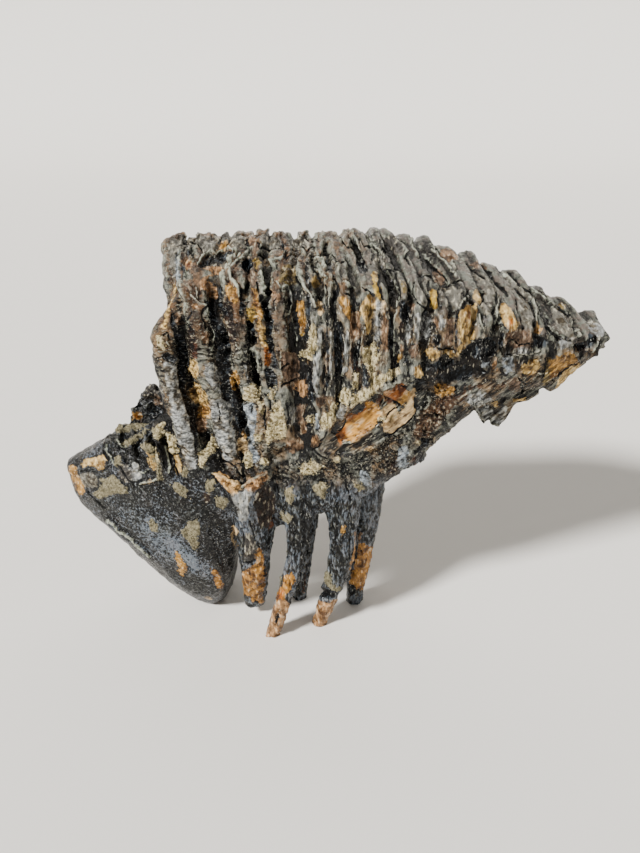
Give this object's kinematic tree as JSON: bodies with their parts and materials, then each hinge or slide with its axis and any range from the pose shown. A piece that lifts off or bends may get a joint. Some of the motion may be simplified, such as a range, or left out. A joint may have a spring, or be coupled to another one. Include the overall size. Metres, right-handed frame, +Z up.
{
  "type": "fossil mammoth tooth",
  "caption": "Fossil mammoth molar: a long ridged crown of upright plates that tapers to one end, over a broad front root and slender broken roots that it stands on.",
  "frame": {"origin": "middle of the bounding box at the level of the surface that the tooth stands on", "axes": "+Z up, from the roots to the grinding face; +X along the crown from its front end to its tapered back end; the side with the near roots faces -Y"},
  "size_m": [0.2638, 0.0794, 0.2004],
  "materials": {
    "fossil": "mineralised enamel and root cement, dull grey-black with a little polish, with sandy crust and ochre patches"
  },
  "bodies": {
    "root": {"tooth": "fossil"}
  },
  "joints": []
}
